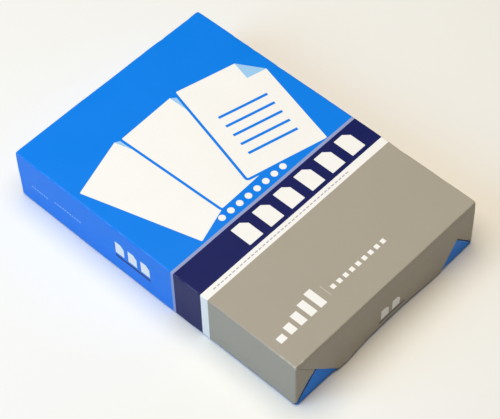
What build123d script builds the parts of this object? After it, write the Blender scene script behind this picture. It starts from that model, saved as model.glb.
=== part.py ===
from build123d import *
import os

# A ream of copy paper, sealed in one printed wrapper sheet and resting on its lap seam side.
# The wrapped block can't be seen into, so stack and wrapper are one solid. Units are mm.
# Frame: +X across the sheets, +Y along them, +Z up. The origin is the centre of the base.

# The stack of sheets
SHEET_WIDTH = 210.0
SHEET_LENGTH = 297.0
SHEET_COUNT = 500
SHEET_CALIPER = 0.102

# The wrapper
WRAP_PLY = 0.11
FOLD_RADIUS = 1.4
LAP_WIDTH = 32.0
LAP_OFFSET = 6.0

# The folded ends: both side tucks lie flat on the stack, then the bottom flap is
# folded up over them, and the top flap is folded down last and glued. Each flap's
# free edge stops short of the far side of the block.
FLAP_RISE = 0.75
BOTTOM_FLAP_STOP = 15.22
TOP_FLAP_STOP = 2.22
FLAP_EDGE_RADIUS = 0.3

# Sizes that follow
stack_height = SHEET_COUNT * SHEET_CALIPER
wrap_width = SHEET_WIDTH + 2 * WRAP_PLY
wrap_length = SHEET_LENGTH + 2 * WRAP_PLY
lap_bottom = 0.0
wrap_bottom = lap_bottom + WRAP_PLY
wrap_height = WRAP_PLY + stack_height + WRAP_PLY
wrap_top = wrap_bottom + wrap_height
bottom_flap_reach = wrap_height - BOTTOM_FLAP_STOP
top_flap_reach = wrap_height - TOP_FLAP_STOP
bottom_flap_out = wrap_length / 2 + FLAP_RISE
top_flap_out = bottom_flap_out + FLAP_RISE


def folded_block(half_length, bottom, top):
    """A block as wide as the wrapped stack, with every fold rounded."""
    height = top - bottom
    block = Pos(0, 0, bottom + height / 2) * Box(wrap_width, 2 * half_length, height)
    return fillet(block.edges(), FOLD_RADIUS)


def trapezoid(wide_z, reach, up):
    """A flap's outline in the end plane: its two sides run in at 45 degrees from the corners."""
    half = wrap_width / 2
    narrow = half - reach
    free_z = wide_z + up * reach
    with BuildSketch(Plane.XZ) as outline:
        with BuildLine():
            Polyline((-half, wide_z), (half, wide_z), (narrow, free_z), (-narrow, free_z), close=True)
        make_face()
    return outline.sketch


def flap(end, outer_half_length, wide_z, reach, up):
    """One folded flap on the end at -Y (end = -1) or +Y (end = 1), rounded where it turns over."""
    root = wrap_length / 2 - 2 * FOLD_RADIUS
    depth = outer_half_length + FOLD_RADIUS - root
    prism = extrude(trapezoid(wide_z, reach, up), amount=depth, dir=(0, end, 0))
    free_side = wide_z + up * (wrap_height + 2 * FOLD_RADIUS)
    block = folded_block(outer_half_length, min(wide_z, free_side), max(wide_z, free_side))
    leaf = block & (Pos(0, end * root, 0) * prism)
    rim = leaf.faces().sort_by(Axis.Y)[-1 if end > 0 else 0]
    wide_edge = rim.edges().sort_by(Axis.Z)[0 if up > 0 else -1]
    open_edges = [edge for edge in rim.edges() if edge != wide_edge and edge.length > reach / 2]
    return fillet(open_edges, FLAP_EDGE_RADIUS)


def lap_seam():
    """The strip along the base where one long edge of the wrapper is glued over the other."""
    strip = Pos(LAP_OFFSET, 0, 0) * Box(LAP_WIDTH, 2 * wrap_length, 2 * stack_height)
    return folded_block(wrap_length / 2, lap_bottom, wrap_top) & strip


wrapped_ream = folded_block(wrap_length / 2, wrap_bottom, wrap_top) + lap_seam()
for end in (-1, 1):
    wrapped_ream += flap(end, bottom_flap_out, wrap_bottom, bottom_flap_reach, 1)
    wrapped_ream += flap(end, top_flap_out, wrap_top, top_flap_reach, -1)

os.makedirs("parts", exist_ok=True)
export_step(wrapped_ream, "parts/wrapped_ream.step")

print("solids", len(wrapped_ream.solids()))
print("size", wrapped_ream.bounding_box().size)
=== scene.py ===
"""A sealed ream of A4 copy paper in a printed wrapper, lying flat.

The wrapper is one sheet. It goes round the stack and laps along the base. At each end the sides
are tucked in, the bottom flap is folded up over them, and the top flap is folded down last and
glued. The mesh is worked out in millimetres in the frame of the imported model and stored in
metres.
"""

import logging
import math
from collections.abc import Sequence
from dataclasses import dataclass, field
from enum import Enum

import bpy
import numpy as np
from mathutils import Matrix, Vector
from mathutils.geometry import delaunay_2d_cdt


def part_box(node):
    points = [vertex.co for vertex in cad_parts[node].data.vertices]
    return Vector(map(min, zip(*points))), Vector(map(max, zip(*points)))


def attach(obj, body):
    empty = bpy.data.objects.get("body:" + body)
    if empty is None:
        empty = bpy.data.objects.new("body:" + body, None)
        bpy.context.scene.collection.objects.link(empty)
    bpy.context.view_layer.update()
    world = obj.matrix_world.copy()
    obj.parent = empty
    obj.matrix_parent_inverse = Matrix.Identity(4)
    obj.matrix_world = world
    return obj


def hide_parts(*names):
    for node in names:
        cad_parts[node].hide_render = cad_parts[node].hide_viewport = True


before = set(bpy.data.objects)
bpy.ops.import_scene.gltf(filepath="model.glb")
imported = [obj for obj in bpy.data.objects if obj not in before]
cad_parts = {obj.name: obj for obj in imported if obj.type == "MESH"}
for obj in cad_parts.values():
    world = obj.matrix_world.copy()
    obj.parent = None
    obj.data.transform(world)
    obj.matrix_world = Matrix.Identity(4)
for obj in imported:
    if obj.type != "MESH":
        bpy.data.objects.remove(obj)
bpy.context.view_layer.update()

LOG = logging.getLogger("ream")
MM = 0.001
NODE = "wrapped_ream"
SHEET_MAP = "sheet_place"
# Mask of wear on folds and corners, and of painted highlight along the flap rims.
FOLD_AND_HIGHLIGHT_MAP = "fold_wear_and_highlight"
# Mask of painted shade in the gaps under the flap edges.
GAP_SHADE_MAP = "gap_shade_depth"
BAKE_MAP = "OFBake"

Colour = tuple[float, float, float, float]
Paint = Colour | bpy.types.NodeSocket
Array = np.ndarray


# ---------------------------------------------------------------- colours

def ink(red: int, green: int, blue: int) -> Colour:
    """Turn a printed colour, given as it looks from 0 to 255, into linear light.

    Args:
        red: red part.
        green: green part.
        blue: blue part.

    Returns:
        The linear colour with an alpha of 1.
    """
    parts = [part / 255 for part in (red, green, blue)]
    dark_end, dark_slope, offset, power = 0.04045, 12.92, 0.055, 2.4
    linear = [
        part / dark_slope if part <= dark_end else ((part + offset) / (1 + offset)) ** power
        for part in parts
    ]
    return (linear[0], linear[1], linear[2], 1.0)


class Ink(Enum):
    """The inks of the wrapper, the white paper that they are printed on, and the near-black used as
    painted shade in the gaps between folded layers.
    """

    BLUE = ink(7, 128, 238)
    PALE = ink(150, 162, 206)
    NAVY = ink(22, 30, 92)
    WHITE = ink(246, 246, 244)
    GREY = ink(170, 163, 149)
    SKY = ink(158, 205, 245)
    DIVIDER = ink(196, 190, 178)
    DASH = ink(150, 152, 166)
    # Painted shade, not an ink: near-black laid into the gaps under the flap edges.
    PAINTED_SHADE = ink(12, 14, 22)


class Panel(Enum):
    """The six panels of the wrapped stack."""

    TOP = 0
    BASE = 1
    LEFT = 2
    RIGHT = 3
    NEAR = 4
    FAR = 5


# ---------------------------------------------------------------- shader writing

class Value:
    """One number that varies over a surface. Arithmetic on it adds Math nodes."""

    def __init__(self, sheet: "ShaderSheet", socket: bpy.types.NodeSocket) -> None:
        """Keep the socket and the node tree's sheet that it is on."""
        self.sheet = sheet
        self.socket = socket

    def __add__(self, other: "Value | float") -> "Value":
        """Add."""
        return self.sheet.maths("ADD", self, other)

    def __radd__(self, other: float) -> "Value":
        """Add to a plain number."""
        return self.sheet.maths("ADD", other, self)

    def __sub__(self, other: "Value | float") -> "Value":
        """Subtract."""
        return self.sheet.maths("SUBTRACT", self, other)

    def __rsub__(self, other: float) -> "Value":
        """Subtract from a plain number."""
        return self.sheet.maths("SUBTRACT", other, self)

    def __mul__(self, other: "Value | float") -> "Value":
        """Multiply."""
        return self.sheet.maths("MULTIPLY", self, other)

    def __rmul__(self, other: float) -> "Value":
        """Multiply a plain number."""
        return self.sheet.maths("MULTIPLY", other, self)

    def __mod__(self, other: float) -> "Value":
        """Give what is left over after whole steps of a size, always from 0 up."""
        return self.sheet.maths("FLOORED_MODULO", self, other)

    def __abs__(self) -> "Value":
        """Drop the sign."""
        return self.sheet.maths("ABSOLUTE", self)

    def least(self, other: "Value | float") -> "Value":
        """Take the smaller of two."""
        return self.sheet.maths("MINIMUM", self, other)

    def most(self, other: "Value | float") -> "Value":
        """Take the larger of two."""
        return self.sheet.maths("MAXIMUM", self, other)

    def root(self) -> "Value":
        """Take the square root."""
        return self.sheet.maths("SQRT", self)

    def fade(self, start: float, end: float) -> "Value":
        """Rise smoothly from 0 to 1.

        Args:
            start: where the result is 0, above or below the end.
            end: where the result is 1.

        Returns:
            The result.
        """
        flip = start > end
        low, high = (end, start) if flip else (start, end)
        made = self.sheet.node(
            "ShaderNodeMapRange",
            {"interpolation_type": "SMOOTHSTEP"},
            {
                "Value": self,
                "From Min": low,
                "From Max": high,
                "To Min": 1.0 if flip else 0.0,
                "To Max": 0.0 if flip else 1.0,
            },
        )
        return Value(self.sheet, made.outputs["Result"])


class ShaderSheet:
    """A node tree, written through a few short calls."""

    def __init__(self, owner: bpy.types.Material | bpy.types.World) -> None:
        """Empty the tree of a new material or world, to write it afresh.

        Args:
            owner: the material or the world.
        """
        self.owner = owner
        owner.use_nodes = True
        self.tree = owner.node_tree
        self.tree.nodes.clear()

    def node(
        self, kind: str, settings: dict[str, object], inputs: dict[object, object]
    ) -> bpy.types.Node:
        """Add one node.

        Args:
            kind: the node's type.
            settings: the node's own settings, made before its sockets are filled.
            inputs: a plain value, a Value or a socket for each input, by name or by number.

        Returns:
            The new node.
        """
        made = self.tree.nodes.new(kind)
        for name, setting in settings.items():
            setattr(made, name, setting)
        for name, given in inputs.items():
            if isinstance(given, Value):
                given = given.socket
            if isinstance(given, bpy.types.NodeSocket):
                self.tree.links.new(given, made.inputs[name])
            else:
                made.inputs[name].default_value = given
        return made

    def maths(self, operation: str, *numbers: "Value | float") -> Value:
        """Add one Math node.

        Args:
            operation: what it works out.
            numbers: its operands, in order.

        Returns:
            Its result.
        """
        made = self.node("ShaderNodeMath", {"operation": operation}, dict(enumerate(numbers)))
        return Value(self, made.outputs[0])

    def drawn(self, name: str) -> bpy.types.Node:
        """Read a map that the mesh carries."""
        settings = {"attribute_type": "GEOMETRY", "attribute_name": name}
        return self.node("ShaderNodeAttribute", settings, {})

    def grain(self, size: float, detail: float = 2.0, stretch: Sequence[float] = (1, 1, 1)) -> Value:
        """Give noise from 0 to 1 that is fixed to the paper.

        Args:
            size: the size of its blotches, in metres.
            detail: how many finer layers it has.
            stretch: how far it is drawn out along X, Y and Z.

        Returns:
            The noise.
        """
        spot = self.drawn(SHEET_MAP)
        scaled = self.node(
            "ShaderNodeVectorMath",
            {"operation": "DIVIDE"},
            {0: spot.outputs["Vector"], 1: tuple(size * part for part in stretch)},
        )
        inputs = {"Vector": scaled.outputs[0], "Scale": 1.0, "Detail": detail}
        made = self.node("ShaderNodeTexNoise", {}, inputs)
        return Value(self, made.outputs[0])

    def mix(self, under: Paint, over: Paint, cover: Value) -> bpy.types.NodeSocket:
        """Lay one colour over another.

        Args:
            under: the lower colour.
            over: the upper colour.
            cover: 1 where only the upper one shows.

        Returns:
            The colour that shows.
        """
        factor, lower, upper, result = 0, 6, 7, 2
        inputs = {factor: cover, lower: under, upper: over}
        made = self.node("ShaderNodeMix", {"data_type": "RGBA"}, inputs)
        return made.outputs[result]

    def scaled(self, colour: Paint, by: Value) -> bpy.types.NodeSocket:
        """Make a colour lighter or darker.

        Args:
            colour: the colour.
            by: what it is multiplied by.

        Returns:
            The new colour.
        """
        given = colour if isinstance(colour, bpy.types.NodeSocket) else colour[:3]
        inputs = {0: given, "Scale": by}
        return self.node("ShaderNodeVectorMath", {"operation": "SCALE"}, inputs).outputs[0]


# ---------------------------------------------------------------- printed shapes

# Half the width over which the edge of a printed shape turns from one ink to the other, in mm.
EDGE = 0.12


def within(amount: Value, half: float) -> Value:
    """Give 1 where an amount without its sign is under a half width, and 0 past it."""
    return abs(amount).fade(half + EDGE, half - EDGE)


@dataclass(frozen=True)
class Plate:
    """A printed rectangle with round corners, turned about its centre. Sizes are in mm."""

    centre: tuple[float, float]
    size: tuple[float, float]
    turn: float = 0.0
    corner: float = 0.0

    def local(self, across: Value, up: Value) -> tuple[Value, Value]:
        """Measure a point along the rectangle's own sides.

        Args:
            across: the point's place across the panel.
            up: its place up the panel.

        Returns:
            Its distances from the rectangle's centre.
        """
        dx = across - self.centre[0]
        dy = up - self.centre[1]
        if not self.turn:
            return dx, dy
        cos = math.cos(math.radians(self.turn))
        sin = math.sin(math.radians(self.turn))
        return dx * cos + dy * sin, dy * cos - dx * sin

    def distance(self, u: Value, v: Value) -> Value:
        """Measure how far a point is outside the rectangle.

        Args:
            u: the point's place along the rectangle's width, from its centre.
            v: its place along the height.

        Returns:
            The distance, less than 0 inside.
        """
        u = abs(u) - (self.size[0] / 2 - self.corner)
        v = abs(v) - (self.size[1] / 2 - self.corner)
        if not self.corner:
            return u.most(v)
        out_u = u.most(0.0)
        out_v = v.most(0.0)
        outside = (out_u * out_u + out_v * out_v).root()
        return outside + u.most(v).least(0.0) - self.corner

    def cover(self, across: Value, up: Value) -> Value:
        """Give 1 inside the shape and 0 outside."""
        return self.distance(*self.local(across, up)).fade(EDGE, -EDGE)


@dataclass(frozen=True)
class Page(Plate):
    """A printed sheet of paper with its top right corner cut off at 45 degrees."""

    dog_ear: float = 0.0

    def distance(self, u: Value, v: Value) -> Value:
        """Measure how far a point is outside the cut sheet.

        Args:
            u: the point's place along the sheet's width, from its centre.
            v: its place along the height.

        Returns:
            The distance, less than 0 inside.
        """
        reach = (self.size[0] + self.size[1]) / 2 - self.dog_ear
        slant = (u + v - reach) * math.sqrt(0.5)
        return super().distance(u, v).most(slant)

    def grown(self, by: float) -> "Page":
        """Make the same sheet larger all round.

        Args:
            by: how much each side moves out.

        Returns:
            The larger sheet.
        """
        size = (self.size[0] + 2 * by, self.size[1] + 2 * by)
        ear = self.dog_ear + by * (2 - math.sqrt(2))
        return Page(self.centre, size, self.turn, self.corner + by, ear)

    def fold(self) -> "PageFold":
        """Give the folded corner of this sheet."""
        return PageFold(self.centre, self.size, self.turn, self.corner, self.dog_ear)


@dataclass(frozen=True)
class PageFold(Page):
    """The corner of a printed sheet of paper, turned over onto it."""

    def distance(self, u: Value, v: Value) -> Value:
        """Measure how far a point is outside the turned corner.

        Args:
            u: the point's place along the sheet's width, from its centre.
            v: its place along the height.

        Returns:
            The distance, less than 0 inside.
        """
        inner_u = (self.size[0] / 2 - self.dog_ear) - u
        inner_v = (self.size[1] / 2 - self.dog_ear) - v
        return super().distance(u, v).most(inner_u).most(inner_v)


@dataclass(frozen=True)
class Row:
    """A row of like shapes at an even pitch. The shape's own centre is at 0 across."""

    start: float
    pitch: float
    count: int
    shape: Plate

    def cover(self, across: Value, up: Value) -> Value:
        """Print the row.

        Args:
            across: a point's place across the panel.
            up: its place up the panel.

        Returns:
            1 inside any shape of the row, and 0 outside.
        """
        half_run = self.pitch * self.count / 2
        along = across - (self.start - self.pitch / 2)
        on_row = within(along - half_run, half_run)
        return self.shape.cover(along % self.pitch - self.pitch / 2, up) * on_row


@dataclass(frozen=True)
class Rising:
    """A row of bars that stand on one line, each taller than the last."""

    start: float
    foot: float
    pitch: float
    width: float
    heights: tuple[float, ...]

    def cover(self, across: Value, up: Value) -> Value:
        """Print the bars.

        Args:
            across: a point's place across the panel.
            up: its place up the panel.

        Returns:
            1 inside any bar, and 0 outside.
        """
        bars = []
        for number, height in enumerate(self.heights):
            middle = (self.start + number * self.pitch, self.foot + height / 2)
            bars.append(Plate(middle, (self.width, height)).cover(across, up))
        total = bars[0]
        for bar in bars[1:]:
            total = total.most(bar)
        return total


@dataclass(frozen=True)
class Ruled:
    """Thin lines across a printed sheet of paper, one under another."""

    page: Page
    lines: int
    pitch: float
    width: float
    thick: float
    lift: float

    def cover(self, across: Value, up: Value) -> Value:
        """Print the lines.

        Args:
            across: a point's place across the panel.
            up: its place up the panel.

        Returns:
            1 on any line, and 0 off them.
        """
        u, v = self.page.local(across, up)
        half_run = self.pitch * self.lines / 2
        along = v - (self.lift - half_run)
        on_line = within(along % self.pitch - self.pitch / 2, self.thick / 2)
        return on_line * within(along - half_run, half_run) * within(u, self.width / 2)


@dataclass(frozen=True)
class Motif:
    """One shape printed in one ink on one panel."""

    panel: Panel
    colour: Ink
    shape: "Plate | Row | Rising | Ruled"
    strength: float = 1.0


def page_motifs(panel: Panel, page: Page, rim: float, rim_ink: Ink, ruled: bool) -> list[Motif]:
    """Print one sheet of paper with a turned corner.

    Args:
        panel: the panel that it is on.
        page: its outline.
        rim: the width of the line round it, in mm.
        rim_ink: the ink of that line.
        ruled: whether it has ruled lines.

    Returns:
        Its shapes, in the order that they are laid.
    """
    motifs = []
    if rim:
        motifs.append(Motif(panel, rim_ink, page.grown(rim)))
    motifs.append(Motif(panel, Ink.WHITE, page))
    motifs.append(Motif(panel, Ink.SKY, page.fold()))
    if ruled:
        lines = Ruled(page, 5, 11.0, page.size[0] * 0.62, 2.6, -page.size[1] * 0.1)
        motifs.append(Motif(panel, Ink.BLUE, lines))
    return motifs


class Wrapping:
    """The generic print of each band: sheets of paper, discs, dashes, bars and squares."""

    def blue_side(self, panel: Panel, side: int) -> list[Motif]:
        """Print the blue of one long side.

        Args:
            panel: the side.
            side: 1 where the far end is on its left, and -1 where it is on its right.

        Returns:
            Its shapes: two dashed lines, and three sheets of paper over a bar.
        """
        motifs = []
        dash_pitch = 2.8
        for start, up, count in ((-134, 21.5, 7), (-107, 24.0, 11)):
            first = start if side > 0 else -(start + dash_pitch * (count - 1))
            dashes = Row(first, dash_pitch, count, Plate((0, up), (2.0, 1.1)))
            motifs.append(Motif(panel, Ink.SKY, dashes))
        for across in (-34, -20, -6):
            page = Page((across * side, 28.5), (9.5, 13), 0.0, 0.3, 3.4)
            motifs.append(Motif(panel, Ink.WHITE, page))
        motifs.append(Motif(panel, Ink.NAVY, Plate((-20 * side, 18.4), (38, 2.4))))
        return motifs

    def blue(self) -> list[Motif]:
        """Print the blue.

        Returns:
            Its shapes: three fanned sheets of paper, a row of discs, and those of the sides.
        """
        motifs = []
        fan = (((-47, 42), 17, False), ((2, 45), 2, False), ((51, 39), -14, True))
        for centre, turn, ruled in fan:
            page = Page(centre, (76, 107), turn, 1.2, 19)
            motifs += page_motifs(Panel.TOP, page, 2.4, Ink.BLUE, ruled)
        discs = Row(-41, 10.0, 8, Plate((0, -16), (6, 6), 0.0, 3.0))
        motifs.append(Motif(Panel.TOP, Ink.WHITE, discs))
        return motifs + self.blue_side(Panel.LEFT, 1) + self.blue_side(Panel.RIGHT, -1)

    def navy(self) -> list[Motif]:
        """Print the navy band with a row of sheets of paper."""
        pages = Row(-38, 24.0, 6, Page((0, -39.5), (15, 20.5), 0.0, 0.5, 5.0))
        return [Motif(Panel.TOP, Ink.WHITE, pages)]

    def stripe(self) -> list[Motif]:
        """Print the white stripe with a thin dashed line."""
        dashes = Row(-93, 4.2, 37, Plate((0, -57.4), (2.9, 1.0)))
        return [Motif(Panel.TOP, Ink.DASH, dashes, 0.8)]

    def grey(self) -> list[Motif]:
        """Print the grey.

        Returns:
            Its shapes: bars, a divider and squares on the top, and two sheets over a bar on
            the near end.
        """
        bars = Rising(-92.5, -128, 11.0, 7.0, (6, 9, 12, 15, 18))
        divider = Plate((-38.0, -120), (0.8, 12))
        squares = Row(-31, 7.2, 9, Plate((0, -121.5), (4, 4)))
        icon = Page((-3.5, 17.0), (9.0, 11.5), 0.0, 0.3, 3.2)
        other = Page((9.5, 17.0), (9.0, 11.5), 0.0, 0.3, 3.2)
        return [
            Motif(Panel.TOP, Ink.WHITE, bars),
            Motif(Panel.TOP, Ink.DIVIDER, divider),
            Motif(Panel.TOP, Ink.WHITE, squares),
            Motif(Panel.NEAR, Ink.WHITE, icon, 0.94),
            Motif(Panel.NEAR, Ink.WHITE, other, 0.94),
            Motif(Panel.NEAR, Ink.NAVY, Plate((5.0, 9.0), (30, 1.8)), 0.85),
        ]


# ---------------------------------------------------------------- finishes

@dataclass(frozen=True)
class PrintedPaper:
    """Coated wrapping paper under one flat ink, with its print, grain, cockle and worn folds, a painted
    highlight along the flap rims and painted shade in the gaps.
    """

    name: str
    ground: Ink
    half_x: float
    half_y: float
    height: float
    motifs: tuple[Motif, ...] = ()
    roughness: float = 0.42
    mottle: float = 0.05
    # Strength of the worn white on folds and of the painted highlight on the flap rims.
    wear_and_highlight: float = 0.5
    # Strength of the painted shade in the gaps.
    painted_gap_shade: float = 0.85
    gloss: float = 0.14
    ior: float = 1.45
    panel_margin: float = 0.4
    broad_patch: float = 34 * MM
    fine_patch: float = 1.1 * MM
    rub_patch: float = 6 * MM
    rough_spread: float = 0.12
    rubbed_rough: float = 0.25
    fibre: tuple[float, float] = (0.45 * MM, 0.0035 * MM)
    pucker: tuple[float, float] = (11 * MM, 0.05 * MM)
    cockle: tuple[float, float] = (45 * MM, 0.22 * MM)

    def panel_place(self, panel: Panel, spot: tuple[Value, Value, Value]) -> tuple[Value, Value, Value]:
        """Find where a point is on a panel, seen from outside with its top up.

        Args:
            panel: the panel.
            spot: the point's place on the unworn wrapper, in mm.

        Returns:
            Its place across the panel and up it, and 1 where it is on the panel at all.
        """
        x, y, z = spot
        margin = self.panel_margin
        if panel is Panel.TOP:
            return x, y, z.fade(self.height - margin, self.height - margin / 2)
        if panel is Panel.LEFT:
            return y * -1.0, z, x.fade(margin - self.half_x, margin / 2 - self.half_x)
        if panel is Panel.RIGHT:
            return y, z, x.fade(self.half_x - margin, self.half_x - margin / 2)
        return x, z, y.fade(margin - self.half_y, margin / 2 - self.half_y)

    def printed(self, sheet: ShaderSheet) -> Paint:
        """Lay the shapes over the ground, one after another.

        Args:
            sheet: the node tree's sheet.

        Returns:
            The printed colour.
        """
        place = sheet.drawn(SHEET_MAP).outputs["Vector"]
        parts = sheet.node("ShaderNodeSeparateXYZ", {}, {0: place})
        spot = tuple(Value(sheet, part) * (1 / MM) for part in parts.outputs)
        colour: Paint = self.ground.value
        for panel in Panel:
            here = [motif for motif in self.motifs if motif.panel is panel]
            if not here:
                continue
            across, up, on_panel = self.panel_place(panel, spot)
            for motif in here:
                cover = motif.shape.cover(across, up) * on_panel * motif.strength
                colour = sheet.mix(colour, motif.colour.value, cover)
        return colour

    def relief(self, sheet: ShaderSheet) -> bpy.types.NodeSocket:
        """Raise fibres, puckers and cockles.

        Args:
            sheet: the node tree's sheet.

        Returns:
            The bumped normal.
        """
        fibre = sheet.grain(self.fibre[0]) * self.fibre[1]
        pucker = sheet.grain(self.pucker[0]) * self.pucker[1]
        cockle = sheet.grain(self.cockle[0], 1.0) * self.cockle[1]
        inputs = {"Strength": 1.0, "Distance": 1.0, "Height": fibre + (pucker + cockle)}
        return sheet.node("ShaderNodeBump", {}, inputs).outputs[0]

    def make(self) -> bpy.types.Material:
        """Make the material: the print, mottled, worn white on folds, lightened along the flap rims as
        painted highlight and darkened in the gaps as painted shade.
        """
        sheet = ShaderSheet(bpy.data.materials.new(self.name))
        broad = sheet.grain(self.broad_patch, 3.0) - 0.5
        fine = sheet.grain(self.fine_patch, 3.0) - 0.5
        mottled = sheet.scaled(self.printed(sheet), 1.0 + broad * self.mottle + fine * self.mottle)
        fold = Value(sheet, sheet.drawn(FOLD_AND_HIGHLIGHT_MAP).outputs["Fac"])
        gap = Value(sheet, sheet.drawn(GAP_SHADE_MAP).outputs["Fac"])
        patches = sheet.grain(self.rub_patch, 4.0).fade(0.3, 0.7)
        # Worn white on folds and corners, and painted highlight along the flap rims.
        rubbed_and_highlit = fold.fade(0.12, 1.0) * patches * self.wear_and_highlight
        worn = sheet.mix(mottled, Ink.WHITE.value, rubbed_and_highlit)
        paper = sheet.node(
            "ShaderNodeBsdfPrincipled",
            {},
            {
                # Painted shade: the gaps are darkened towards near-black.
                "Base Color": sheet.mix(worn, Ink.PAINTED_SHADE.value, gap * self.painted_gap_shade),
                "Roughness": self.roughness + broad * self.rough_spread + rubbed_and_highlit * self.rubbed_rough,
                "Normal": self.relief(sheet),
                "IOR": self.ior,
                "Specular IOR Level": self.gloss,
            },
        )
        sheet.node("ShaderNodeOutputMaterial", {}, {"Surface": paper.outputs[0]})
        return sheet.owner


# ---------------------------------------------------------------- the folded mesh

def smooth(amount: Array, start: float, end: float) -> Array:
    """Rise smoothly from 0 at start to 1 at end."""
    part = np.clip((amount - start) / (end - start), 0.0, 1.0)
    return part * part * (3 - 2 * part)


@dataclass(frozen=True)
class Flap:
    """One folded flap, by the two sides of its outline on an end. Points are (x, z)."""

    left: tuple[tuple[float, float], ...]
    right: tuple[tuple[float, float], ...]
    stands: bool
    start: float = 0.9
    start_spread: float = 1.5
    slant: float = 1.4

    def side(self, points: Sequence[tuple[float, float]], z: Array) -> Array:
        """Give the x of one side at heights z."""
        ordered = sorted(points, key=lambda point: point[1])
        return np.interp(z, [point[1] for point in ordered], [point[0] for point in ordered])

    def slope(self, points: Sequence[tuple[float, float]]) -> float:
        """Give how far square off one side a step of 1 across goes."""
        dx = points[-1][0] - points[0][0]
        dz = points[-1][1] - points[0][1]
        return abs(dz) / math.hypot(dx, dz)

    def beyond(self, x: Array, z: Array) -> Array:
        """Measure how far points are outside the flap.

        Args:
            x: their places across.
            z: their places up.

        Returns:
            The distances, less than 0 on the flap.
        """
        left = (self.side(self.left, z) - x) * self.slope(self.left)
        right = (x - self.side(self.right, z)) * self.slope(self.right)
        free = z - self.left[-1][1]
        return np.maximum(np.maximum(left, right), free if self.stands else -free)

    def trail(self, off: float, step: float) -> list[tuple[float, float]]:
        """Give points along the flap's outline, moved out by a distance.

        Args:
            off: the distance.
            step: the space between points.

        Returns:
            The points, from the left corner round the free edge to the right corner.
        """
        way = 1 if self.stands else -1
        start = self.left[0][1] + way * (self.start + self.start_spread * max(off, 0.0))
        end = self.left[-1][1] + way * off
        heights = np.linspace(start, end, max(2, round(abs(end - start) * self.slant / step)))
        left = self.side(self.left, heights) - off / self.slope(self.left)
        right = self.side(self.right, heights) + off / self.slope(self.right)
        across = np.linspace(left[-1], right[-1], round((right[-1] - left[-1]) / step))[1:-1]
        points = list(zip(left, heights))
        points += [(x, end) for x in across]
        points += list(zip(right[::-1], heights[::-1]))
        return [(float(x), float(z)) for x, z in points]


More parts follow.
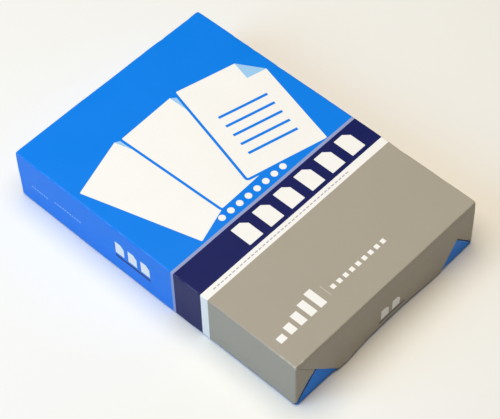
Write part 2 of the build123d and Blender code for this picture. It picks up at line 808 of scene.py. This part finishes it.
@dataclass
class FoldedMesh:
    """The wrapper's surface, laid out on a sharp box in mm and then folded, leaned and worn."""

    half_x: float
    half_y: float
    height: float
    top_fold: float = 1.0
    base_fold: float = 2.5
    lean: float = 1.8
    spacing: float = 2.2
    lap_left: float = -10.0
    lap_right: float = 22.0
    band_lines: tuple[float, ...] = (-61.0, -53.6, -25.3, -22.6)
    rise: float = 0.55
    offsets: tuple[float, ...] = (-2.6, -1.1, -0.4, -0.12, 0.0, 0.1, 0.45, 1.1, 2.4)
    fold_lines: tuple[float, ...] = (0.0, 0.3, 0.7, 1.2, 1.8, 2.5)
    trail_step: float = 1.8
    step: float = 0.1
    rim_reach: float = 7.0
    end_reach: float = 9.0
    lap_step: float = 0.3
    lap_edge: float = 0.15
    lap_fade: float = 2.5
    waves: tuple[tuple[float, float], ...] = (
        (210, 0.10), (150, 0.09), (95, 0.07), (70, 0.05), (48, 0.035), (33, 0.025), (21, 0.012)
    )
    nick_count: int = 26
    nick_size: tuple[float, float] = (2.0, 6.0)
    nick_depth: tuple[float, float] = (0.08, 0.3)
    sharp_from: float = 38.0
    points: list[tuple[float, float, float]] = field(default_factory=list)
    index: dict[tuple[int, int, int], int] = field(default_factory=dict)
    faces: list[tuple[int, ...]] = field(default_factory=list)
    panels: list[int] = field(default_factory=list)
    slots: list[int] = field(default_factory=list)

    def flaps(self, near: bool) -> tuple[Flap, Flap]:
        """Give the top flap and the bottom flap of one end.

        Args:
            near: whether it is the end at -Y.

        Returns:
            The two flaps.
        """
        hx, top = self.half_x, self.height
        if near:
            left, right = (-81.7, 26.0), (82.8, 23.9)
            over = Flap(((-hx, top), left, (-58.3, 2.3)), ((hx, top), right, (64.0, 2.3)), False)
            under = Flap(((-hx, 0.0), left, (-71.5, 36.0)), ((hx, 0.0), right, (71.5, 36.0)), True)
            return over, under
        left, right = (-80.2, 25.2), (79.6, 25.4)
        over = Flap(((-hx, top), left, (-57.0, 2.8)), ((hx, top), right, (57.4, 2.8)), False)
        under = Flap(((-hx, 0.0), left, (-69.5, 36.0)), ((hx, 0.0), right, (69.0, 36.0)), True)
        return over, under

    def grid(self, low: float, high: float, fixed: Sequence[float]) -> Array:
        """Give lines across one direction: close together at folds, even inside, and some fixed.

        Args:
            low: where they start.
            high: where they end.
            fixed: lines that have to be there.

        Returns:
            The lines.
        """
        rim = np.array(self.fold_lines)
        stops = sorted([low + rim[-1], high - rim[-1], *fixed])
        inside = [
            np.linspace(a, b, max(1, round((b - a) / self.spacing)) + 1)
            for a, b in zip(stops, stops[1:])
        ]
        lines = np.concatenate([low + rim, *inside, high - rim])
        return np.unique(np.round(lines, 4))

    def vertex(self, x: float, y: float, z: float) -> int:
        """Give the number of the vertex at a place, which panels share along folds.

        Args:
            x: its place across.
            y: its place along.
            z: its place up.

        Returns:
            Its number.
        """
        key = (round(x * 1000), round(y * 1000), round(z * 1000))
        if key not in self.index:
            self.index[key] = len(self.points)
            self.points.append((x, y, z))
        return self.index[key]

    def band_slot(self, y: float) -> int:
        """Give the material slot of a place along the wrapper's printed sides and top."""
        return sum(y <= line for line in self.band_lines)

    def add_face(self, corners: Sequence[int], panel: Panel, slot: int) -> None:
        """Add one face, turned so that it looks outwards.

        Args:
            corners: its vertices.
            panel: the panel that it is part of.
            slot: its material slot.
        """
        axis, way = {
            Panel.TOP: (2, 1),
            Panel.BASE: (2, -1),
            Panel.LEFT: (0, -1),
            Panel.RIGHT: (0, 1),
            Panel.NEAR: (1, -1),
            Panel.FAR: (1, 1),
        }[panel]
        first, second, third = (np.array(self.points[corner]) for corner in corners[:3])
        facing = np.cross(second - first, third - first)[axis] * way
        self.faces.append(tuple(corners) if facing > 0 else tuple(reversed(corners)))
        self.panels.append(panel.value)
        self.slots.append(slot)

    def add_long_panels(self, xs: Array, ys: Array, zs: Array) -> None:
        """Lay out the top, the base and both sides as grids.

        Args:
            xs: the lines across.
            ys: the lines along.
            zs: the lines up.
        """
        for panel, z in ((Panel.TOP, self.height), (Panel.BASE, 0.0)):
            for y0, y1 in zip(ys, ys[1:]):
                slot = self.band_slot((y0 + y1) / 2) if panel is Panel.TOP else 0
                for x0, x1 in zip(xs, xs[1:]):
                    corners = [self.vertex(x, y, z) for x, y in ((x0, y0), (x1, y0), (x1, y1), (x0, y1))]
                    self.add_face(corners, panel, slot)
        for panel, x in ((Panel.LEFT, -self.half_x), (Panel.RIGHT, self.half_x)):
            for y0, y1 in zip(ys, ys[1:]):
                slot = self.band_slot((y0 + y1) / 2)
                for z0, z1 in zip(zs, zs[1:]):
                    corners = [self.vertex(x, y, z) for y, z in ((y0, z0), (y1, z0), (y1, z1), (y0, z1))]
                    self.add_face(corners, panel, slot)

    def add_end(self, near: bool, xs: Array, zs: Array) -> None:
        """Lay out one end, with lines of vertices that follow the outlines of its flaps.

        Args:
            near: whether it is the end at -Y.
            xs: the lines across that the neighbouring panels share.
            zs: the lines up that the neighbouring panels share.
        """
        over, under = self.flaps(near)
        flat: list[tuple[float, float]] = []
        edges: list[tuple[int, int]] = []

        def chain(points: Sequence[tuple[float, float]], closed: bool = False) -> None:
            """Add a line of points that faces may not cross."""
            first = len(flat)
            flat.extend(points)
            edges.extend((first + n, first + n + 1) for n in range(len(points) - 1))
            if closed:
                edges.append((len(flat) - 1, first))

        rim = [(x, zs[0]) for x in xs] + [(xs[-1], z) for z in zs[1:]]
        rim += [(x, zs[-1]) for x in xs[-2::-1]] + [(xs[0], z) for z in zs[-2:0:-1]]
        chain([(float(x), float(z)) for x, z in rim], closed=True)
        for off in self.offsets:
            chain(over.trail(off, self.trail_step))
            whole = np.array(under.trail(off, self.trail_step))
            clear = over.beyond(whole[:, 0], whole[:, 1]) > 0.3
            first_hidden = int(np.argmin(clear))
            last_hidden = len(clear) - int(np.argmin(clear[::-1]))
            chain([tuple(map(float, point)) for point in whole[:first_hidden]])
            chain([tuple(map(float, point)) for point in whole[last_hidden:]])
        inner_x, inner_z = np.meshgrid(xs[1:-1], zs[1:-1])
        inner_x, inner_z = inner_x.ravel(), inner_z.ravel()
        from_over = over.beyond(inner_x, inner_z)
        from_under = under.beyond(inner_x, inner_z)
        taken = (from_over > -3.2) & (from_over < 3.0)
        taken |= (from_under > -3.2) & (from_under < 3.0) & (from_over > 0)
        flat.extend((float(x), float(z)) for x, z in zip(inner_x[~taken], inner_z[~taken]))
        cut = delaunay_2d_cdt([Vector(spot) for spot in flat], edges, [], 0, 1e-4)
        places, triangles, sources = cut[0], cut[2], cut[3]
        exact = [
            flat[source[0]] if source else (place[0], place[1])
            for place, source in zip(places, sources)
        ]
        y = -self.half_y if near else self.half_y
        ids = [self.vertex(x, y, z) for x, z in exact]
        spots = np.array(exact)
        for corners in triangles:
            middle = spots[list(corners)].mean(axis=0)
            on_over = over.beyond(middle[0], middle[1]) < self.step
            on_under = under.beyond(middle[0], middle[1]) < self.step
            slot = 4 if near and (on_over or not on_under) else 0
            made = [ids[corner] for corner in corners]
            if len(set(made)) == 3:
                self.add_face(made, Panel.NEAR if near else Panel.FAR, slot)

    def relief(self, near: bool, x: Array, z: Array) -> tuple[Array, Array]:
        """Work out how far the folded layers of one end stand out from its plain plane.

        Args:
            near: whether it is the end at -Y.
            x: places across.
            z: places up.

        Returns:
            The height of the outermost layer, and how deep in a gap it is from 0 to 1, the mask of the
            painted shade.
        """
        over, under = self.flaps(near)
        from_over = over.beyond(x, z)
        from_under = under.beyond(x, z)
        to_side = self.half_x - abs(x)
        to_top = self.height - z
        rim = smooth(np.minimum(to_side, to_top), 0.0, self.rim_reach)
        left_side = x < 0
        inside = np.minimum(np.minimum(to_side, to_top), z + 2.0)
        tuck = -self.rise * smooth(inside, 0.0, self.rim_reach)
        tuck += 0.35 * rim * smooth(from_under, 1.0, 9.0)

        way_up = np.clip(z / 25.0, 0.0, 1.0)
        wide = np.where(left_side, 2.5 - 1.6 * way_up, 1.2 - 0.5 * way_up)
        deep = np.where(left_side, 2.4 - 1.3 * way_up, 1.1 - 0.4 * way_up)
        if not near:
            wide, deep = wide * 0.55, deep * 0.6
        in_gap = np.clip(1.0 - (from_under - self.step) / wide, 0.0, 1.0) ** 0.7 * (from_under > 0.02)
        lower = tuck - deep * in_gap
        onto_under = np.clip((self.step - from_under) / self.step, 0.0, 1.0)
        rounded = -0.16 * smooth(from_under, -0.7, 0.0)
        lower = lower * (1 - onto_under) + rounded * onto_under

        top = self.rise * rim + 0.22 * smooth(-from_under, 0.0, 4.5) * smooth(z, 2.0, 10.0)
        top -= 0.18 * smooth(from_over, -0.7, 0.0)
        along = np.array([-105, -66, -58, -50, -31, -6, 18, 53, 66, 105.0])
        lift = np.array([0.0, 0.3, 1.3, 1.6, 0.3, -0.4, -0.5, 0.35, 0.2, 0.0])
        if not near:
            lift = lift[::-1] * 0.5
        edge_lift = np.interp(x, along, lift)
        low_down = 1.0 - smooth(z, 3.0, 24.0)
        top += np.maximum(edge_lift, 0.0) * low_down * rim
        common = np.interp(x, (-105, -30, 0, 20, 50, 105), (0.0, 0.0, -0.65, -0.75, 0.1, 0.0))
        pocket = np.clip(1.0 - (from_over - self.step) / 0.9, 0.0, 1.0)
        pocket *= (from_over > 0.02) * rim
        lower = lower - 0.45 * pocket
        onto_over = np.clip((self.step - from_over) / self.step, 0.0, 1.0)
        out = lower * (1 - onto_over) + top * onto_over
        out += common * (1.0 - smooth(z, 0.0, 30.0))
        # Mask of painted shade: the gap under the bottom flap's edge and the pocket under the top flap.
        gap = np.maximum(in_gap * np.where(left_side, 1.0, 0.6), pocket * 0.5) * (1 - onto_over)
        return out, gap * (from_under > 0.05)

    def ripple(self, spots: Array) -> Array:
        """Give gentle uneven waves of the wrapper, in mm, fixed by a seed.

        Args:
            spots: vertices on the sharp box, in mm.

        Returns:
            How far each one moves out, in mm.
        """
        draw = np.random.default_rng(11)
        total = np.zeros(len(spots))
        for length, amount in self.waves:
            for _ in range(2):
                way = draw.normal(size=3)
                way /= np.linalg.norm(way)
                phase = draw.uniform(0, 2 * math.pi)
                total += amount * np.sin(spots @ way * (2 * math.pi / length) + phase)
        return total

    def fold_wear_and_highlight(self, spots: Array) -> Array:
        """Give how near each vertex is to a fold, from 0 to 1, more where a fold is worn, and a painted
        highlight along the flap rims.

        Args:
            spots: vertices on the sharp box, in mm.

        Returns:
            The wear, from 0 to 1.
        """
        box = np.array([self.half_x, self.half_y, self.height / 2])
        middle = np.array([0.0, 0.0, self.height / 2])
        gaps = np.sort(box - abs(spots - middle), axis=1)
        wear_and_highlight = 0.34 * (1.0 - smooth(gaps[:, 1], 0.2, 1.6))
        corner = np.array([-self.half_x, -self.half_y, self.height])
        near_corner = np.linalg.norm(spots - corner, axis=1)
        wear_and_highlight += 0.9 * (1.0 - smooth(near_corner, 0.8, 3.2))
        on_fold = (gaps[:, 1] < 1.3) & (spots[:, 0] < -90) & (spots[:, 2] > self.height - 3)
        wear_and_highlight += 0.5 * on_fold * (1.0 - smooth(spots[:, 1], -145, -112))
        wear_and_highlight = np.clip(wear_and_highlight, 0.0, 1.0)
        for near in (True, False):
            over, under = self.flaps(near)
            on_end = np.abs(spots[:, 1] + (self.half_y if near else -self.half_y)) < 1e-3
            from_over = over.beyond(spots[:, 0], spots[:, 2])
            from_under = under.beyond(spots[:, 0], spots[:, 2])
            # Painted highlight: light lines along the rims of the top flap and of the bottom flap where
            # it shows.
            lip = 0.55 * smooth(from_over, -0.9, -0.05) * (from_over < 0.05)
            low_lip = 0.5 * smooth(from_under, -0.9, -0.05) * (from_under < 0.05) * (from_over > 0.2)
            wear_and_highlight = np.where(on_end, np.maximum(wear_and_highlight, np.maximum(lip, low_lip)), wear_and_highlight)
        return wear_and_highlight

    def nicks(self, spots: Array) -> Array:
        """Give small dents along the folds, as a depth in mm.

        Args:
            spots: vertices on the sharp box, in mm.

        Returns:
            How far each one moves in, in mm.
        """
        draw = np.random.default_rng(5)
        hx, hy, top = self.half_x, self.half_y, self.height
        depth = np.zeros(len(spots))
        for _ in range(self.nick_count):
            fold = draw.integers(0, 6)
            along = draw.uniform(-0.95, 0.95)
            place = {
                0: (-hx, along * hy, top),
                1: (hx, along * hy, top),
                2: (along * hx, -hy, top),
                3: (along * hx, hy, top),
                4: (-hx, along * hy, 0),
                5: (hx, along * hy, 0),
            }[int(fold)]
            size = draw.uniform(*self.nick_size)
            amount = draw.uniform(*self.nick_depth)
            away = np.linalg.norm(spots - np.array(place, float), axis=1)
            depth += amount * np.exp(-((away / size) ** 2))
        for place in ((-hx, -hy, top), (hx, -hy, top), (-hx, hy, top), (hx, hy, top)):
            away = np.linalg.norm(spots - np.array(place), axis=1)
            depth += 0.35 * np.exp(-((away / 2.4) ** 2))
        return depth

    def shaped(self, spots: Array) -> tuple[Array, Array]:
        """Fold, lean and bend the sharp box.

        Args:
            spots: vertices on the sharp box, in mm.

        Returns:
            The vertices of the real shape, and how deep in a gap each is, the mask of the painted shade.
        """
        up = spots[:, 2] / self.height
        radius = self.base_fold + (self.top_fold - self.base_fold) * smooth(up, 0.0, 0.8)
        low = np.stack([-self.half_x + radius, -self.half_y + radius, radius], axis=1)
        high = np.stack([self.half_x - radius, self.half_y - radius, self.height - radius], axis=1)
        inner = np.clip(spots, low, high)
        outward = spots - inner
        outward /= np.linalg.norm(outward, axis=1)[:, None]
        made = inner + outward * radius[:, None]
        made += outward * (self.ripple(spots) - self.nicks(spots))[:, None]
        gap = np.zeros(len(spots))
        for near in (True, False):
            way = -1.0 if near else 1.0
            out, deep = self.relief(near, spots[:, 0], spots[:, 2])
            hold = smooth(spots[:, 1] * way, self.half_y - self.end_reach, self.half_y)
            made[:, 1] += way * out * hold
            on_end = np.abs(spots[:, 1] * way - self.half_y) < 1e-3
            # Only the ends carry the gap mask for the painted shade.
            gap = np.where(on_end, deep, gap)
        on_base = spots[:, 2] < 1e-6
        x = spots[:, 0]
        lap_edge = smooth(x, self.lap_left - self.lap_edge, self.lap_left)
        low_side, high_side = self.lap_right - self.lap_fade, self.lap_right + self.lap_fade
        lap = lap_edge * (1 - smooth(x, low_side, high_side))
        made[:, 2] += np.where(on_base, self.lap_step * (1 - lap), 0.0)
        made[:, 1] -= self.lean * (1.0 - up)
        made[:, 2] = np.maximum(made[:, 2], 0.0)
        return made, gap

    def bake_layout(self, spots: Array) -> Array:
        """Lay each face's corners out flat, with most room for the top.

        Args:
            spots: vertices on the sharp box, in mm.

        Returns:
            The map coordinates of each corner of each face.
        """
        room = 1024.0
        plans = {
            Panel.TOP: (0, 1, 1.0, 1.0, 3.0, 6, 118),
            Panel.LEFT: (1, 2, -1.0, 1.0, 1.95, 8, 8),
            Panel.BASE: (0, 1, -1.0, 1.0, 1.5, 650, 560),
            Panel.RIGHT: (2, 1, 1.0, 1.0, 1.8, 650, 8),
            Panel.NEAR: (2, 0, 1.0, 1.0, 1.8, 760, 8),
            Panel.FAR: (2, 0, 1.0, -1.0, 1.8, 870, 8),
        }
        half = np.array([self.half_x, self.half_y, 0.0])
        span = np.array([2 * self.half_x, 2 * self.half_y, self.height])
        places = spots + half
        rows = []
        for face, panel in zip(self.faces, self.panels):
            across, up, flip_u, flip_v, scale, left, foot = plans[Panel(panel)]
            part = places[list(face)]
            u = part[:, across] if flip_u > 0 else span[across] - part[:, across]
            v = part[:, up] if flip_v > 0 else span[up] - part[:, up]
            rows.append(np.stack([(u * scale + left) / room, (v * scale + foot) / room], axis=1))
        return np.concatenate(rows)

    def build(self, name: str) -> bpy.types.Object:
        """Make the mesh object, with its maps.

        Args:
            name: the piece's name.

        Returns:
            The object, in metres.
        """
        xs = self.grid(-self.half_x, self.half_x, (self.lap_left - self.lap_edge, self.lap_left))
        ys = self.grid(-self.half_y, self.half_y, self.band_lines)
        zs = self.grid(0.0, self.height, ())
        self.add_long_panels(xs, ys, zs)
        self.add_end(True, xs, zs)
        self.add_end(False, xs, zs)
        spots = np.array(self.points)
        made, gap = self.shaped(spots)
        mesh = bpy.data.meshes.new(name)
        mesh.from_pydata((made * MM).tolist(), [], self.faces)
        mesh.polygons.foreach_set("material_index", np.array(self.slots, dtype=np.int32))
        places = mesh.attributes.new(SHEET_MAP, "FLOAT_VECTOR", "POINT")
        places.data.foreach_set("vector", (spots * MM).astype(np.float32).ravel())
        # The fold map carries painted highlight on the flap rims as well, and the gap map is painted
        # shade.
        for label, amounts in ((FOLD_AND_HIGHLIGHT_MAP, self.fold_wear_and_highlight(spots)), (GAP_SHADE_MAP, gap)):
            amount = mesh.attributes.new(label, "FLOAT", "POINT")
            amount.data.foreach_set("value", amounts.astype(np.float32))
        layout = mesh.uv_layers.new(name=BAKE_MAP)
        layout.data.foreach_set("uv", self.bake_layout(spots).astype(np.float32).ravel())
        mesh.validate()
        mesh.polygons.foreach_set("use_smooth", np.ones(len(mesh.polygons), dtype=bool))
        mesh.set_sharp_from_angle(angle=math.radians(self.sharp_from))
        mesh.update()
        made_object = bpy.data.objects.new(name, mesh)
        bpy.context.scene.collection.objects.link(made_object)
        return made_object


# ---------------------------------------------------------------- the ream

@dataclass
class Ream:
    """The wrapped ream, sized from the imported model."""

    low: Vector
    high: Vector
    name: str = "wrapper"

    def finishes(self, sizes: tuple[float, float, float]) -> list[bpy.types.Material]:
        """Make the finish of each band, in the order of the mesh's slots.

        Args:
            sizes: half the width, half the length and the height, in mm.

        Returns:
            The materials.
        """
        print_of = Wrapping()
        bands = (
            PrintedPaper("print_blue", Ink.BLUE, *sizes, motifs=tuple(print_of.blue()), roughness=0.40),
            PrintedPaper("print_pale", Ink.PALE, *sizes),
            PrintedPaper("print_navy", Ink.NAVY, *sizes, motifs=tuple(print_of.navy()), roughness=0.38),
            PrintedPaper("print_stripe", Ink.WHITE, *sizes, motifs=tuple(print_of.stripe()), mottle=0.02),
            PrintedPaper("print_grey", Ink.GREY, *sizes, motifs=tuple(print_of.grey()), roughness=0.44),
        )
        return [band.make() for band in bands]

    def build(self) -> bpy.types.Object:
        """Build the wrapper and put it on the model's body.

        Returns:
            The wrapper.
        """
        size = (self.high - self.low) / MM
        sizes = (size.x / 2, size.y / 2, size.z)
        wrapper = FoldedMesh(*sizes).build(self.name)
        for finish in self.finishes(sizes):
            wrapper.data.materials.append(finish)
        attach(wrapper, "root")
        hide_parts(NODE)
        return wrapper


# ---------------------------------------------------------------- the studio

@dataclass(frozen=True)
class Lamp:
    """A soft lamp that shines at the ream."""

    name: str
    away: tuple[float, float, float]
    distance: float
    size: float
    power: float
    colour: tuple[float, float, float]

    def build(self, aim: Vector) -> None:
        """Hang the lamp and turn it to the aim.

        Args:
            aim: the point that it shines at.
        """
        data = bpy.data.lights.new(self.name, "AREA")
        data.shape = "DISK"
        data.size = self.size
        data.energy = self.power
        data.color = self.colour
        lamp = bpy.data.objects.new(self.name, data)
        way = Vector(self.away).normalized()
        lamp.location = aim + way * self.distance
        lamp.rotation_euler = (-way).to_track_quat("-Z", "Y").to_euler()
        bpy.context.scene.collection.objects.link(lamp)


@dataclass(frozen=True)
class Studio:
    """A pale floor, soft lamps, a dim world and the camera."""

    centre: Vector
    floor_half: float = 6.0
    floor_colour: Colour = (0.91, 0.92, 0.90, 1.0)
    floor_rough: float = 0.9
    world_light: Colour = (0.03, 0.03, 0.03, 1.0)
    backdrop: Colour = (0.93, 0.945, 0.94, 1.0)
    azimuth: float = -47.193
    elevation: float = 52.385
    distance: float = 1.507
    aside: tuple[float, float, float] = (-5.74, -12.77, 0.0)
    lens: float = 136.94
    sensor: float = 36.0
    sees_to: float = 50.0
    lamps: tuple[Lamp, ...] = (
        Lamp("overhead", (-0.06, 0.1, 1.0), 2.0, 2.1, 46.0, (1.0, 0.88, 0.72)),
        Lamp("window", (-0.773, 0.312, 0.552), 2.0, 1.3, 21.0, (0.34, 0.64, 1.0)),
    )

    def floor(self) -> None:
        """Lay the floor."""
        sheet = ShaderSheet(bpy.data.materials.new("pale_floor"))
        inputs = {"Base Color": self.floor_colour, "Roughness": self.floor_rough}
        matte = sheet.node("ShaderNodeBsdfPrincipled", {}, inputs)
        sheet.node("ShaderNodeOutputMaterial", {}, {"Surface": matte.outputs[0]})
        reach = self.floor_half
        corners = [(-reach, -reach, 0), (reach, -reach, 0), (reach, reach, 0), (-reach, reach, 0)]
        mesh = bpy.data.meshes.new("floor")
        mesh.from_pydata(corners, [], [(0, 1, 2, 3)])
        mesh.materials.append(sheet.owner)
        floor = bpy.data.objects.new("floor", mesh)
        bpy.context.scene.collection.objects.link(floor)

    def world(self) -> None:
        """Make the world: dim light all round, and a pale backdrop where it is seen directly or through
        transmission.
        """
        world = bpy.data.worlds.new("studio")
        sheet = ShaderSheet(world)
        path = sheet.node("ShaderNodeLightPath", {}, {})
        in_view = Value(sheet, path.outputs["Is Camera Ray"])
        seen = in_view.most(Value(sheet, path.outputs["Is Transmission Ray"]))
        dim = sheet.node("ShaderNodeBackground", {}, {"Color": self.world_light})
        bright = sheet.node("ShaderNodeBackground", {}, {"Color": self.backdrop})
        inputs = {0: seen, 1: dim.outputs[0], 2: bright.outputs[0]}
        either = sheet.node("ShaderNodeMixShader", {}, inputs)
        sheet.node("ShaderNodeOutputWorld", {}, {"Surface": either.outputs[0]})
        bpy.context.scene.world = world

    def camera(self) -> None:
        """Set up the camera."""
        data = bpy.data.cameras.new("camera")
        data.lens = self.lens
        data.sensor_width = self.sensor
        data.clip_end = self.sees_to
        around, above = math.radians(self.azimuth), math.radians(self.elevation)
        level = math.cos(above)
        back = Vector((math.sin(around) * level, -math.cos(around) * level, math.sin(above)))
        camera = bpy.data.objects.new("camera", data)
        aim = self.centre + Vector(self.aside) * MM
        camera.location = aim + back * self.distance
        camera.rotation_mode = "QUATERNION"
        camera.rotation_quaternion = (-back).to_track_quat("-Z", "Y")
        bpy.context.scene.collection.objects.link(camera)
        bpy.context.scene.camera = camera

    def build(self) -> None:
        """Set up the floor, the world, the lamps and the camera."""
        self.floor()
        self.world()
        for lamp in self.lamps:
            lamp.build(self.centre)
        self.camera()
        bpy.context.scene.view_settings.view_transform = "Standard"


def main() -> None:
    """Build the ream and the studio round it."""
    logging.basicConfig(level=logging.INFO, format="%(message)s")
    low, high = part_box(NODE)
    wrapper = Ream(low, high).build()
    LOG.info("%s: %d faces", wrapper.name, len(wrapper.data.polygons))
    Studio((low + high) / 2).build()


if __name__ == "__main__":
    main()
